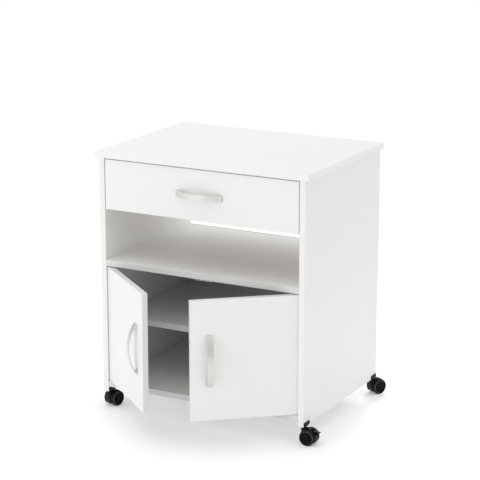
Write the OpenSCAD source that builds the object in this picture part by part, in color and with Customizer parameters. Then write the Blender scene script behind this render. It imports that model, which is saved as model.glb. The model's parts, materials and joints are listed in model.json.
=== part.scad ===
// Microwave cart: a white laminated cabinet on four casters, with one drawer over an open
// niche and a two-door cupboard. Millimetres. The origin is on the floor, midway between the
// four caster stems; +X is to the right seen from the front, -Y is the front, +Z is up.
// The doors are drawn ajar, as they stand at rest, and the drawer is drawn shut.

/* [Carcass] */
// Width over the outer faces of the two side panels
cart_w = 578; // [520:1:680]
// Depth of the side panels, from their front edges to their back edges
cart_d = 437; // [420:1:520]
// Height of the side panels
side_h = 620; // [600:1:700]
// Thickness of the side panels, shelves, doors and drawer front
board_t = 15; // [14:1:18]
// Thickness of the top
top_t = 15; // [14:1:22]
// How far the top reaches past each side panel
top_side_overhang = 9.5; // [0:0.5:20]
// How far the top reaches past the front edges
top_front_overhang = 5; // [0:0.5:20]
// How far the underside of the bottom panel lies above the ends of the side panels
bottom_rise = 14; // [14:1:24]
// Thickness of the back panel
back_t = 3; // [2.5:0.5:3]
// Distance from the back edges to the back panel
back_inset = 5; // [3:0.5:5]
// Depth of the grooves that hold the back panel
back_groove = 5; // [3:0.5:6]

/* [Shelves] */
// Height of the fixed shelf's top face above the bottom panel's top face
cupboard_h = 325; // [300:1:340]
// Height of the open niche
niche_h = 134; // [110:1:150]
// Height of the adjustable shelf's top face above the bottom panel's top face
inner_shelf_h = 165; // [120:1:200]
// How far the adjustable shelf's front edge is set back
inner_shelf_setback = 49; // [40:1:80]
// Gap at each end of the adjustable shelf
inner_shelf_gap = 1; // [0.5:0.5:2]
// Spacing of the shelf pin holes
pin_pitch = 32; // [25:1:32]
// Number of pin heights above and below the one in use
pin_spare_rows = 2; // [0:1:2]
// Distance of the shelf pins from the front and back edges of the adjustable shelf
pin_inset = 40; // [30:1:60]
// Radius of a shelf pin
pin_r = 2.5; // [2:0.5:3]
// Length of a shelf pin inside its hole
pin_in = 9; // [6:1:10]
// Length of a shelf pin's lug
pin_lug = 8; // [6:1:10]

/* [Drawer] */
// Gap between the drawer front and the top
drawer_top_gap = 3; // [2:0.5:5]
// Gap at each side of the drawer front
drawer_side_gap = 2.25; // [1.5:0.25:4]
// Thickness of the drawer box sides and back
drawer_t = 12; // [12:1:15]
// Thickness of the drawer bottom
drawer_bottom_t = 3; // [3:0.5:5]
// Gap between the drawer box sides and the top
drawer_box_gap = 28; // [20:1:40]
// How far the drawer box sides start above the drawer front's lower edge
drawer_box_rise = 14; // [12:1:20]
// How far the drawer bottom lies above the lower edges of the drawer sides
drawer_bottom_rise = 8; // [6:1:12]
// Depth of the grooves that hold the drawer bottom
drawer_groove = 5; // [3:0.5:6]

/* [Drawer rails] */
// Length of the drawer rails, and depth of the drawer box
rail_len = 350; // [300:1:380]
// Width of the space for the rails at each side of the drawer box
rail_space = 12.5; // [12.5:0.1:14]
// Thickness of the rail steel
rail_t = 1.2; // [1:0.1:1.5]
// How far the cabinet rails start behind the drawer front
rail_setback = 3; // [1:0.5:6]
// Radius of the rail rollers
roller_r = 8; // [7:0.1:8.5]
// Width of the rail rollers
roller_w = 6; // [5:0.1:6.5]
// Distance from a rail's end to its roller
roller_inset = 12; // [10:1:20]
// Radius of the roller pins
roller_pin_r = 2; // [1.5:0.1:2.5]

/* [Doors] */
// Gap between the closed doors
door_mid_gap = 3; // [2:0.5:5]
// Gap between a closed door and its side panel
door_side_gap = 2.5; // [2:0.5:4]
// Gap over the doors
door_top_gap = 3; // [2.5:0.5:5]
// Gap under the doors
door_bottom_gap = 2; // [2:0.5:4]
// Angle by which the doors stand open at rest
door_open = 40; // [0:1:100]
// Distance of the pivot axis from the side panel's inner face
pivot_in = 9; // [9:0.5:10]
// Distance of the pivot axis behind the door's front face
pivot_back = 6; // [5:0.5:6]
// Radius of the pivot pins
pivot_r = 2; // [1.5:0.1:2.2]
// Outer radius of the pivot bushes
bush_r = 3; // [2.6:0.1:3.2]
// Depth of the bushes in the door's edges
bush_len = 12; // [8:1:20]
// Thickness of the pivot plates
plate_t = 1.2; // [1:0.1:1.5]
// Width of the pivot plates
plate_w = 23; // [18:1:26]
// Length of the pivot plates, front to back
plate_len = 40; // [36:1:50]

/* [Handles] */
// Length of the arched handles
handle_len = 130; // [110:1:150]
// How far the handles stand out
handle_out = 23.5; // [20:0.5:30]
// Thickness of the handle strap
handle_t = 3; // [2:0.5:4]
// Height of the handle's square ends
handle_end = 3; // [2:0.5:4]
// Width of the handle strap
handle_w = 15; // [12:0.5:22]
// Length of the solid foot at each end of a handle
handle_foot = 8; // [7.5:0.5:12]
// Distance of the handle screws from the handle's ends
handle_screw_inset = 4.5; // [4:0.5:5]
// Distance of the door handles' centre lines from the doors' free edges
handle_edge = 46.5; // [30:0.5:70]

/* [Catch] */
// Distance between the centres of the two magnets
magnet_pitch = 24; // [24:1:40]
// Width of each magnet case
catch_case_w = 17; // [14:1:20]
// Height of the magnet cases
catch_h = 8.2; // [7:0.2:12]
// Depth of the magnet cases
catch_d = 28; // [20:1:36]
// Gap between a magnet and its strike plate when the door is shut
catch_gap = 0.3; // [0.2:0.1:1]
// Thickness of the strike plates
strike_t = 1.2; // [0.8:0.1:1.6]

/* [Casters] */
// Height of the side panels' lower ends above the floor
caster_h = 45; // [45:1:60]
// Radius of the wheels
wheel_r = 20; // [18:0.5:20]
// Width of each wheel
wheel_w = 9; // [7:0.5:12]
// Distance from the stem's axis to the axle's axis
caster_trail = 18; // [17:0.5:22]
// Width of the hood between the two wheels
hood_w = 13.6; // [12:0.2:16]
// How far the hood's curve stands out past the wheels
hood_lip = 1.5; // [0.5:0.1:2.5]
// Height of the hood's lower edge above the floor
hood_floor = 8; // [5:1:12]
// Radius of the caster stem
stem_r = 3; // [2.6:0.1:3.4]
// Length of the stem above the side panel's lower end
stem_len = 29; // [20:1:30]
// Distance of the stem from the front and back edges of the side panel
stem_inset = 13.6; // [13.5:0.1:20]
// Radius of the axle
axle_r = 2.5; // [2:0.1:3]
// Angle of the front left caster's trail, anticlockwise from the cart's right
trail_front_left = 74.5; // [0:0.5:360]
// Angle of the front right caster's trail
trail_front_right = -2; // [-180:0.5:180]
// Angle of the rear left caster's trail
trail_rear_left = 110; // [0:0.5:360]
// Angle of the rear right caster's trail
trail_rear_right = 63.5; // [0:0.5:360]

/* [Caster brackets] */
// Thickness of the bracket on the side panel's lower end
bracket_t = 1.2; // [1:0.1:2]
// Length of the bracket along the side panel
bracket_len = 30; // [28:1:40]
// Distance of the bracket from the side panel's edge
bracket_inset = 2.5; // [0:0.5:3]
// Height of the bracket's flange above the side panel's lower end
bracket_h = 10.5; // [10:0.5:13]
// Outer radius of the stem's socket
socket_r = 4.2; // [4:0.1:5]

/* [Brake lever] */
// How far the brake lever stands out past the wheels
lever_out = 9.4; // [6:0.1:14]
// Width of the brake lever
lever_w = 8.4; // [6:0.2:9]
// Thickness of the brake lever
lever_t = 2.5; // [2.5:0.5:4]
// Height of the brake lever's upper face above the floor
lever_top = 36.5; // [35:0.5:38]

/* [Hidden] */
$fn = 48;

// Clearances: a piece at rest in its hole, a shaft that turns, and two bodies that pass
snug = 0.05;
running = 0.06;
passing = 0.3;
eps = 0.5; // how far a cutting shape runs past the face that it cuts

// Planes of the carcass
out_x = cart_w / 2;
in_x = out_x - board_t;
front_y = -cart_d / 2;
back_y = cart_d / 2;
back_panel_y = back_y - back_inset - back_t;
side_z0 = caster_h;
side_z1 = side_z0 + side_h;
bottom_z0 = side_z0 + bottom_rise;
bottom_z1 = bottom_z0 + board_t;
shelf_z1 = bottom_z1 + cupboard_h;
shelf_z0 = shelf_z1 - board_t;
inner_shelf_z1 = bottom_z1 + inner_shelf_h;
inner_shelf_z0 = inner_shelf_z1 - board_t;
inner_shelf_y0 = front_y + inner_shelf_setback;
inner_shelf_y1 = back_panel_y - inner_shelf_gap;
drawer_z0 = shelf_z1 + niche_h;
drawer_z1 = side_z1 - drawer_top_gap;

// Cam fittings and dowels in the board joints
cam_r = 7.5;
cam_reach = 24; // from the joint to the cam's centre
cam_deep = 12;
cam_deep_drawer = 9.5;
cam_slot = [10, 1.4, 1.2];
bolt_r = 2.2;
bolt_head_r = 3.3;
bolt_head_t = 3;
bolt_thread_r = 2.5;
bolt_thread = 10;
bolt_way_r = 3.6;
cam_inset = 58; // from the carcass's front and back planes
dowel_r = 4;
dowel_short = 9.5; // part of the dowel in the face of the crossing board
dowel_long = 20;
dowel_inset = 90;
cam_ys = [front_y + cam_inset, back_y - cam_inset];
dowel_ys = [front_y + dowel_inset, back_y - dowel_inset];

// Lugs of the shelf pins, past the pin at each side and below it
lug_side = 1;
lug_drop = 1.5;

// Screws: radius, and radius and height of the pan heads
screw_r = 1.5;
screw_head_r = 3;
screw_head_t = 1.6;
screw_in = 10; // length in a board's face
handle_screw_r = 2;
handle_screw_head_r = 4;
handle_screw_head_t = 2.5;
handle_screw_in = handle_end; // length in the handle's foot
back_screw_in = 25; // length in the drawer back's end
rail_screw_head_r = 2;
rail_screw_head_t = 1;

// Drawer joints: shares of the height that is free for the cams and for the back's screws,
// and the least gap that they keep from an edge or from each other
drawer_cam_shares = [0.121, 0.774];
drawer_screw_shares = [0.197, 0.788];
joint_edge_gap = 1;

// Two heights between z0 and z1 at the given shares, or one midway where they are too close
function spread(z0, z1, shares, apart) =
    (shares[1] - shares[0]) * (z1 - z0) < apart
        ? [(z0 + z1) / 2]
        : [for (share = shares) z0 + share * (z1 - z0)];

// Drawer rails, seen from the front at the right-hand side
box_x = in_x - rail_space; // outer face of the drawer box
rail_y0 = front_y + board_t + rail_setback;
box_y0 = front_y + board_t;
box_y1 = box_y0 + rail_len;
box_z0 = drawer_z0 + drawer_box_rise;
box_z1 = side_z1 - drawer_box_gap;
drawer_box_h = box_z1 - box_z0;
drawer_back_z0 = box_z0 + drawer_bottom_rise + drawer_bottom_t;
flange_out = 8.8; // how far the drawer rail's running flange reaches out
roller_drop = 3; // of the front rollers' lowest points below the drawer box
flange_gap = 1; // between the drawer rail's flange and the channel's upper flange
roller_end_gap = 1; // from the front roller to the channel's lower flange
flange_end_gap = 2; // from the drawer rail's flange to the rear roller
front_roller_z = box_z0 + roller_r - roller_drop;
flange_z = front_roller_z + roller_r + passing;
channel_z1 = flange_z + rail_t + flange_gap;
rear_roller_z = channel_z1 - roller_r - passing;
channel_z0 = rear_roller_z - roller_r - passing;
channel_reach = 9.5; // how far the channel's flanges reach in from the side panel
roller_x = box_x + rail_t + (rail_space - 2 * rail_t) / 2;
front_roller_y = rail_y0 + roller_inset;
rear_roller_y = box_y1 - roller_inset;
pin_head_r = 3;
pin_head_t = 0.6;
pin_end_gap = 0.1;
rail_screw_inset = 40;
rail_screw_rise = 6; // of the drawer rails' screws above the drawer box's lower edge
rail_screw_in = drawer_t / 2;

// Doors
door_x1 = in_x - door_side_gap;
door_x0 = door_mid_gap / 2;
door_z0 = bottom_z1 + door_bottom_gap;
door_z1 = shelf_z0 - door_top_gap;
pivot = [in_x - pivot_in, front_y + pivot_back];
bush_proud = door_bottom_gap - plate_t - passing;
bush_floor = 1; // thickness of a bush's closed end
pivot_end_gap = 1; // from a pivot pin's end to the bush's closed end
plate_front = 2; // from the carcass's front plane to the plate
plate_screw_insets = [6, 15]; // from the plate's back end
handle_z = (door_z0 + door_z1) / 2;
drawer_handle_z = (drawer_z0 + drawer_z1) / 2;

// Handle arcs: a circle through the tops of the square ends and the middle of the strap
handle_half = handle_len / 2;
handle_rise = handle_out - handle_end;
handle_arc_r = (handle_half * handle_half + handle_rise * handle_rise) / (2 * handle_rise);
handle_screw_x = handle_half - handle_screw_inset;
arc_fn = 180; // sides of the strap's arcs

// Catch and strike plates
catch_base_t = 2;
catch_y = front_y + board_t + strike_t + catch_gap;
magnet = [12, 20, 4.4];
magnet_rise = 1.2; // of the magnets above the cases' lower faces
catch_screw_shares = [0.3, 0.75]; // of the catch's depth
strike = [15, 14];
strike_top = 1; // from the door's upper edge
strike_screw_drop = 3.5; // of the strike plate's screw below the plate's middle
strike_head_r = 2.5;
strike_head_t = 1.2;
strike_screw_in = 8;

// Casters, drawn with the stem at the origin and the trail along +X
hood_r = wheel_r + hood_lip;
wheel_gap = 0.5; // between the hood and each wheel
wheel_v = hood_w / 2 + wheel_gap;
boss_r = 4.6;
collar_r = 5.2;
collar_t = 1.8;
collar_z1 = caster_h - bracket_t - passing;
stem_z0 = 24;
stem_floor = 2; // of the hood under the stem
socket_top = stem_len + 1; // above the side panel's lower end
socket_end_gap = 1; // between the socket's top and the end of its hole
axle_in = 6.5; // length of the axle in each wheel
rim_in_r = 14.5;
rim_out_r = 18.5;
rim_deep = 1.2;
hub_r = 5;
tread_round = 1;
lever_pivot_ahead = 10; // of the axle
lever_pivot_drop = 5.5; // below the lever's upper face
lever_pivot = [caster_trail + lever_pivot_ahead, lever_top - lever_pivot_drop];
lever_pin_r = 1.6;
lever_lug_r = 3.5;
lever_back = 4; // how far the lever reaches behind its pivot
lever_end_gap = 1; // from the lever's back end to the slot's end
lever_floor_gap = 1.3; // from the lever's lug to the slot's floor
lever_slot_w = lever_w + 2 * passing;
lever_slot_z = lever_pivot[1] - lever_lug_r - lever_floor_gap;
stem_x = out_x - board_t / 2;
stem_y = cart_d / 2 - stem_inset;
bracket_screw_z = 6;
bracket_screw_insets = [4, 26]; // from the end of the bracket at the panel's edge
bracket_screw_in = 5.5;

// Draws what is modelled at the right-hand side at the left instead, where side is -1
module on_side(side) {
    mirror([side < 0 ? 1 : 0, 0, 0]) children();
}

// Draws its children at every board joint of one side, with the joint's face at the origin,
// +X into the crossing board and -Z towards the face that the cams are let into
module at_joints(ys) {
    for (y = ys) {
        for (z = [bottom_z0, shelf_z0]) {
            translate([in_x, y, z + board_t / 2]) children();
        }
        translate([in_x + board_t / 2, y, side_z1]) rotate([0, -90, 0]) rotate([180, 0, 0]) children();
    }
}

module cam_cut(t, deep) {
    translate([-cam_reach, 0, -t / 2 - eps]) cylinder(r = cam_r, h = deep + eps);
    translate([-cam_reach, 0, 0]) rotate([0, 90, 0]) cylinder(r = bolt_way_r, h = cam_reach + eps);
    rotate([0, 90, 0]) cylinder(r = bolt_thread_r + snug, h = bolt_thread + snug);
}

module cam_lock(t, deep) {
    translate([-cam_reach, 0, -t / 2]) difference() {
        cylinder(r = cam_r - snug, h = deep - snug);
        translate([-bolt_head_r, 0, t / 2]) rotate([0, 90, 0]) {
            cylinder(r = bolt_way_r, h = cam_r + bolt_head_r + eps);
        }
        for (turn = [45, 135]) {
            rotate([0, 0, turn]) {
                translate([-cam_slot[0] / 2, -cam_slot[1] / 2, -eps]) {
                    cube([cam_slot[0], cam_slot[1], cam_slot[2] + eps]);
                }
            }
        }
    }
}

module cam_bolt() {
    rotate([0, 90, 0]) {
        cylinder(r = bolt_thread_r, h = bolt_thread);
        translate([0, 0, -cam_reach]) cylinder(r = bolt_r, h = cam_reach + eps);
        translate([0, 0, -cam_reach - bolt_head_t / 2]) cylinder(r = bolt_head_r, h = bolt_head_t);
    }
}

module dowel(clear) {
    translate([-dowel_long - clear, 0, 0]) rotate([0, 90, 0]) {
        cylinder(r = dowel_r + clear, h = dowel_long + dowel_short + 2 * clear);
    }
}

module joint_cuts() {
    for (side = [-1, 1]) {
        on_side(side) {
            at_joints(cam_ys) cam_cut(board_t, cam_deep);
            at_joints(dowel_ys) dowel(snug);
        }
    }
}

// A pan-head screw along -Z, its head's underside at the origin
module screw(r, shank, head_r, head_t) {
    translate([0, 0, -shank]) cylinder(r = r, h = shank + head_t / 2);
    cylinder(r = head_r, h = head_t);
}

// ---------------------------------------------------------------- carcass

module top_panel() {
    w = cart_w + 2 * top_side_overhang;
    color("white") difference() {
        translate([-w / 2, front_y - top_front_overhang, side_z1]) {
            cube([w, cart_d + top_front_overhang, top_t]);
        }
        joint_cuts();
    }
}

module pin_places() {
    for (y = [inner_shelf_y0 + pin_inset, inner_shelf_y1 - pin_inset]) {
        translate([in_x, y, inner_shelf_z0 - pin_r]) children();
    }
}

module caster_places() {
    for (end = [-1, 1]) {
        translate([stem_x, end * stem_y, side_z0]) mirror([0, end > 0 ? 1 : 0, 0]) children();
    }
}

// Centres of a bracket's screws; +Z points out of the panel's right-hand face, seen from the
// front, which is the outer face at the right and the inner face at the left
module bracket_screw_places(side, lift) {
    for (inset = bracket_screw_insets) {
        translate([side * (board_t / 2 + lift), bracket_inset + inset - stem_inset, bracket_screw_z]) {
            rotate([0, side * 90, 0]) children();
        }
    }
}

module rail_screw_places(x) {
    for (y = [rail_y0 + rail_screw_inset, rail_y0 + rail_len - rail_screw_inset]) {
        translate([x, y, (channel_z0 + channel_z1) / 2]) rotate([0, -90, 0]) children();
    }
}

module side_panel(side) {
    color("white") on_side(side) difference() {
        translate([in_x, front_y, side_z0]) cube([board_t, cart_d, side_h]);
        translate([in_x - eps, back_panel_y - snug, bottom_z0 - snug]) {
            cube([back_groove + snug + eps, back_t + 2 * snug, shelf_z1 - bottom_z0 + 2 * snug]);
        }
        joint_cuts();
        for (row = [-pin_spare_rows:pin_spare_rows]) {
            translate([-eps, 0, row * pin_pitch]) pin_places() {
                rotate([0, 90, 0]) cylinder(r = pin_r + snug, h = pin_in + snug + eps);
            }
        }
        caster_places() {
            translate([0, 0, -eps]) cylinder(r = socket_r + snug, h = socket_top + socket_end_gap + eps);
            bracket_screw_places(side, 0) {
                translate([0, 0, -bracket_screw_in]) cylinder(r = screw_r + snug, h = bracket_screw_in + eps);
            }
        }
        rail_screw_places(in_x) {
            translate([0, 0, -screw_in]) cylinder(r = screw_r + snug, h = screw_in + eps);
        }
    }
}

module crossing_board(z) {
    translate([-in_x, front_y, z]) cube([2 * in_x, back_panel_y - front_y, board_t]);
}

module plate_screw_places() {
    plate_back = front_y + plate_front + plate_len;
    for (side = [-1, 1], inset = plate_screw_insets) {
        on_side(side) translate([in_x - plate_w / 2, plate_back - inset, 0]) children();
    }
}

module catch_screw_places() {
    for (share = catch_screw_shares) {
        translate([0, catch_y + share * catch_d, shelf_z0]) children();
    }
}

module fixed_shelf() {
    color("white") difference() {
        crossing_board(shelf_z0);
        joint_cuts();
        translate([0, 0, shelf_z0 - eps]) plate_screw_places() {
            cylinder(r = screw_r + snug, h = screw_in + eps);
        }
        translate([0, 0, -eps]) catch_screw_places() cylinder(r = screw_r + snug, h = screw_in + eps);
    }
}

module bottom_panel() {
    color("white") difference() {
        crossing_board(bottom_z0);
        joint_cuts();
        translate([0, 0, bottom_z1 - screw_in]) {
            plate_screw_places() cylinder(r = screw_r + snug, h = screw_in + eps);
        }
    }
}

// The back of the cupboard alone: behind the niche and the drawer the cart is open
module back_panel() {
    half = in_x + back_groove;
    color("white") translate([-half, back_panel_y, bottom_z0]) {
        cube([2 * half, back_t, shelf_z1 - bottom_z0]);
    }
}

module adjustable_shelf() {
    half = in_x - inner_shelf_gap;
    color("white") translate([-half, inner_shelf_y0, inner_shelf_z0]) {
        cube([2 * half, inner_shelf_y1 - inner_shelf_y0, board_t]);
    }
}

module shelf_pins() {
    color("gainsboro") for (side = [-1, 1]) {
        on_side(side) pin_places() {
            rotate([0, 90, 0]) cylinder(r = pin_r, h = pin_in);
            translate([-pin_lug, -pin_r - lug_side, -pin_r - lug_drop]) {
                cube([pin_lug, 2 * (pin_r + lug_side), 2 * pin_r + lug_drop]);
            }
        }
    }
}

module cam_locks() {
    color("silver") for (side = [-1, 1]) {
        on_side(side) at_joints(cam_ys) cam_lock(board_t, cam_deep);
    }
}

module cam_bolts() {
    color("silver") for (side = [-1, 1]) {
        on_side(side) at_joints(cam_ys) cam_bolt();
    }
}

module dowels() {
    color("burlywood") for (side = [-1, 1]) {
        on_side(side) at_joints(dowel_ys) dowel(0);
    }
}

// A channel on the side panel, open towards the drawer, with the front roller's pin
module cabinet_rail(side) {
    web_x = in_x - rail_t;
    lower_y0 = front_roller_y + roller_r + roller_end_gap;
    color("whitesmoke") on_side(side) difference() {
        union() {
            translate([web_x, rail_y0, channel_z0 - rail_t]) {
                cube([rail_t, rail_len, channel_z1 - channel_z0 + 2 * rail_t]);
            }
            translate([in_x - channel_reach, rail_y0, channel_z1]) cube([channel_reach, rail_len, rail_t]);
            translate([in_x - channel_reach, lower_y0, channel_z0 - rail_t]) {
                cube([channel_reach, rail_y0 + rail_len - lower_y0, rail_t]);
            }
            translate([web_x + eps, front_roller_y, front_roller_z]) rotate([0, -90, 0]) roller_pin();
        }
        rail_screw_places(in_x) {
            translate([0, 0, -eps]) cylinder(r = screw_head_r + snug, h = rail_t + 2 * eps);
        }
    }
}

// A pin that starts inside the steel, passes through a roller and ends in a flat head
module roller_pin() {
    reach = (rail_space - 2 * rail_t + roller_w) / 2 + pin_end_gap + eps;
    cylinder(r = roller_pin_r, h = reach + pin_head_t / 2);
    translate([0, 0, reach]) cylinder(r = pin_head_r, h = pin_head_t);
}

module roller(y, z) {
    translate([roller_x - roller_w / 2, y, z]) rotate([0, 90, 0]) difference() {
        cylinder(r = roller_r, h = roller_w);
        translate([0, 0, -eps]) cylinder(r = roller_pin_r + running, h = roller_w + 2 * eps);
    }
}

module cabinet_roller(side) {
    color("white") on_side(side) roller(front_roller_y, front_roller_z);
}

module catch_housing() {
    w = magnet_pitch + catch_case_w;
    color("white") difference() {
        union() {
            translate([-w / 2, catch_y, shelf_z0 - catch_base_t]) cube([w, catch_d, catch_base_t]);
            for (x = [-magnet_pitch / 2, magnet_pitch / 2]) {
                translate([x - catch_case_w / 2, catch_y, shelf_z0 - catch_h]) {
                    cube([catch_case_w, catch_d, catch_h]);
                }
            }
        }
        magnet_blocks(snug);
        catch_screw_places() {
            translate([0, 0, -catch_base_t - eps]) cylinder(r = screw_r + snug, h = catch_base_t + 2 * eps);
        }
    }
}

module magnet_blocks(clear) {
    for (x = [-magnet_pitch / 2, magnet_pitch / 2]) {
        translate([
            x - magnet[0] / 2 - clear,
            catch_y - (clear > 0 ? eps : 0),
            shelf_z0 - catch_h + magnet_rise - clear
        ]) {
            cube([magnet[0] + 2 * clear, magnet[1] + clear + (clear > 0 ? eps : 0), magnet[2] + 2 * clear]);
        }
    }
}

module catch_magnets() {
    color("dimgray") magnet_blocks(0);
}

// Flat plates under the fixed shelf and on the bottom panel, each with a pin for the door
module pivot_plates(side) {
    color("silver") on_side(side) {
        pivot_plate(bottom_z1, door_bottom_gap);
        translate([0, 0, shelf_z0]) mirror([0, 0, 1]) pivot_plate(0, door_top_gap);
    }
}

// A pivot plate lying at height z, with its pin upwards through the gap under the door
module pivot_plate(z, gap) {
    reach = gap + bush_len - bush_floor - pivot_end_gap;
    difference() {
        union() {
            translate([in_x - plate_w, front_y + plate_front, z]) cube([plate_w, plate_len, plate_t]);
            translate([pivot[0], pivot[1], z]) cylinder(r = pivot_r, h = reach);
        }
        translate([0, 0, z - eps]) plate_screw_places() {
            cylinder(r = screw_r + snug, h = plate_t + 2 * eps);
        }
    }
}

// Angles on the lower ends of the side panels, each with a socket for a caster stem
module caster_brackets() {
    color("black") for (side = [-1, 1]) {
        on_side(side) caster_places() caster_bracket(side);
    }
}

module caster_bracket(side) {
    y0 = bracket_inset - stem_inset;
    difference() {
        union() {
            on_side(side) {
                translate([-board_t / 2, y0, -bracket_t]) {
                    cube([board_t + bracket_t, bracket_len, bracket_t]);
                }
                translate([board_t / 2, y0, -bracket_t]) {
                    cube([bracket_t, bracket_len, bracket_h + bracket_t]);
                }
            }
            translate([0, 0, -bracket_t / 2]) cylinder(r = socket_r, h = socket_top + bracket_t / 2);
        }
        translate([0, 0, -bracket_t - eps]) {
            cylinder(r = stem_r + running, h = socket_top + bracket_t + 2 * eps);
        }
        bracket_screw_places(side, 0) {
            translate([0, 0, -eps]) cylinder(r = screw_r + snug, h = bracket_t + 2 * eps);
        }
    }
}

// Screws of the brackets, the cabinet rails, the pivot plates and the catch
module fixing_screws() {
    color("black") for (side = [-1, 1]) {
        on_side(side) {
            caster_places() bracket_screw_places(side, bracket_t) {
                screw(screw_r, bracket_t + bracket_screw_in - snug, screw_head_r, screw_head_t);
            }
            rail_screw_places(in_x) screw(screw_r, screw_in - snug, screw_head_r, rail_t);
        }
    }
    color("black") {
        translate([0, 0, shelf_z0 - plate_t]) plate_screw_places() mirror([0, 0, 1]) {
            screw(screw_r, screw_in + plate_t - snug, screw_head_r, screw_head_t);
        }
        translate([0, 0, bottom_z1 + plate_t]) plate_screw_places() {
            screw(screw_r, screw_in + plate_t - snug, screw_head_r, screw_head_t);
        }
        translate([0, 0, -catch_base_t]) catch_screw_places() mirror([0, 0, 1]) {
            screw(screw_r, screw_in + catch_base_t - snug, screw_head_r, screw_head_t);
        }
    }
}

// ---------------------------------------------------------------- handles

// An arched strap on the plane y = 0, its length along X, standing out towards -Y
module handle() {
    translate([0, 0, -handle_w / 2]) linear_extrude(handle_w) mirror([0, 1]) handle_arch();
}

// The strap seen from its edge: x along the handle, y away from the panel
module handle_arch() {
    centre = handle_out - handle_arc_r;
    intersection() {
        translate([-handle_half, 0]) square([handle_len, handle_out + eps]);
        difference() {
            translate([0, centre]) circle(r = handle_arc_r, $fn = arc_fn);
            difference() {
                translate([0, centre]) circle(r = handle_arc_r - handle_t, $fn = arc_fn);
                for (end = [-1, 1]) {
                    translate([end * (handle_half - handle_foot / 2), handle_out / 2]) {
                        square([handle_foot, handle_out + 2 * eps], center = true);
                    }
                }
            }
        }
    }
}

module handle_with_holes() {
    difference() {
        handle();
        handle_screw_places(0) {
            translate([0, 0, -eps]) cylinder(r = handle_screw_r + snug, h = handle_screw_in + snug + eps);
        }
    }
}

// The two screw axes of a handle; +Z points out of the panel's front face
module handle_screw_places(depth) {
    for (end = [-1, 1]) {
        translate([end * handle_screw_x, depth, 0]) rotate([90, 0, 0]) children();
    }
}

module handle_screw_cuts() {
    handle_screw_places(board_t + eps) cylinder(r = handle_screw_r + snug, h = board_t + 2 * eps);
}

module handle_screws() {
    handle_screw_places(board_t) {
        mirror([0, 0, 1]) {
            screw(handle_screw_r, board_t + handle_screw_in, handle_screw_head_r, handle_screw_head_t);
        }
    }
}

// ---------------------------------------------------------------- drawer

module drawer_handle_place() {
    translate([0, front_y, drawer_handle_z]) children();
}

// The cam joints between the drawer's sides and its front
module drawer_joints() {
    edge = cam_r + joint_edge_gap;
    zs = spread(drawer_back_z0 + edge, box_z1 - edge, drawer_cam_shares, 2 * cam_r + joint_edge_gap);
    for (side = [-1, 1], z = zs) {
        on_side(side) {
            translate([box_x - drawer_t / 2, box_y0, z]) {
                rotate([0, 0, -90]) rotate([-90, 0, 0]) children();
            }
        }
    }
}

module drawer_back_screw_places() {
    edge = screw_head_r + joint_edge_gap / 2;
    apart = 2 * screw_head_r + joint_edge_gap;
    for (side = [-1, 1], z = spread(flange_z + rail_t + edge, box_z1 - edge, drawer_screw_shares, apart)) {
        on_side(side) translate([box_x, box_y1 - drawer_t / 2, z]) {
            rotate([0, 90, 0]) children();
        }
    }
}

module drawer_rail_screw_places() {
    for (side = [-1, 1], y = [box_y0 + rail_screw_inset, box_y1 - rail_screw_inset]) {
        on_side(side) translate([box_x + rail_t, y, box_z0 + rail_screw_rise]) rotate([0, 90, 0]) children();
    }
}

module drawer_front() {
    half = in_x - drawer_side_gap;
    bottom_half = box_x - drawer_t + drawer_groove;
    color("white") difference() {
        translate([-half, front_y, drawer_z0]) cube([2 * half, board_t, drawer_z1 - drawer_z0]);
        translate([-bottom_half - snug, box_y0 - drawer_groove - snug, box_z0 + drawer_bottom_rise - snug]) {
            cube([2 * bottom_half + 2 * snug, drawer_groove + eps, drawer_bottom_t + 2 * snug]);
        }
        drawer_joints() cam_cut(drawer_t, cam_deep_drawer);
        drawer_handle_place() handle_screw_cuts();
    }
}

module drawer_side(side) {
    color("white") difference() {
        on_side(side) difference() {
            translate([box_x - drawer_t, box_y0, box_z0]) cube([drawer_t, rail_len, drawer_box_h]);
            translate([box_x - drawer_t - eps, box_y0 - eps, box_z0 + drawer_bottom_rise - snug]) {
                cube([drawer_groove + snug + eps, rail_len + 2 * eps, drawer_bottom_t + 2 * snug]);
            }
        }
        drawer_joints() cam_cut(drawer_t, cam_deep_drawer);
        drawer_back_screw_places() {
            translate([0, 0, -drawer_t - eps]) cylinder(r = screw_r + snug, h = drawer_t + 2 * eps);
        }
        drawer_rail_screw_places() {
            translate([0, 0, -rail_t - rail_screw_in]) {
                cylinder(r = screw_r + snug, h = rail_t + rail_screw_in);
            }
        }
    }
}

module drawer_back() {
    half = box_x - drawer_t;
    color("white") difference() {
        translate([-half, box_y1 - drawer_t, drawer_back_z0]) {
            cube([2 * half, drawer_t, box_z1 - drawer_back_z0]);
        }
        drawer_back_screw_places() {
            translate([0, 0, -drawer_t - back_screw_in]) {
                cylinder(r = screw_r + snug, h = back_screw_in + eps);
            }
        }
    }
}

module drawer_bottom() {
    half = box_x - drawer_t + drawer_groove;
    color("white") translate([-half, box_y0 - drawer_groove, box_z0 + drawer_bottom_rise]) {
        cube([2 * half, rail_len + drawer_groove, drawer_bottom_t]);
    }
}

module drawer_handle() {
    color("silver") drawer_handle_place() handle_with_holes();
}

// Cams, bolts and screws that hold the drawer, its rails and its handle together
module drawer_fittings() {
    color("silver") {
        drawer_joints() {
            cam_lock(drawer_t, cam_deep_drawer);
            cam_bolt();
        }
        drawer_back_screw_places() {
            screw(screw_r, drawer_t + back_screw_in - snug, screw_head_r, screw_head_t);
        }
        drawer_rail_screw_places() {
            screw(screw_r, rail_t + rail_screw_in - snug, rail_screw_head_r, rail_screw_head_t);
        }
        drawer_handle_place() handle_screws();
    }
}

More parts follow.
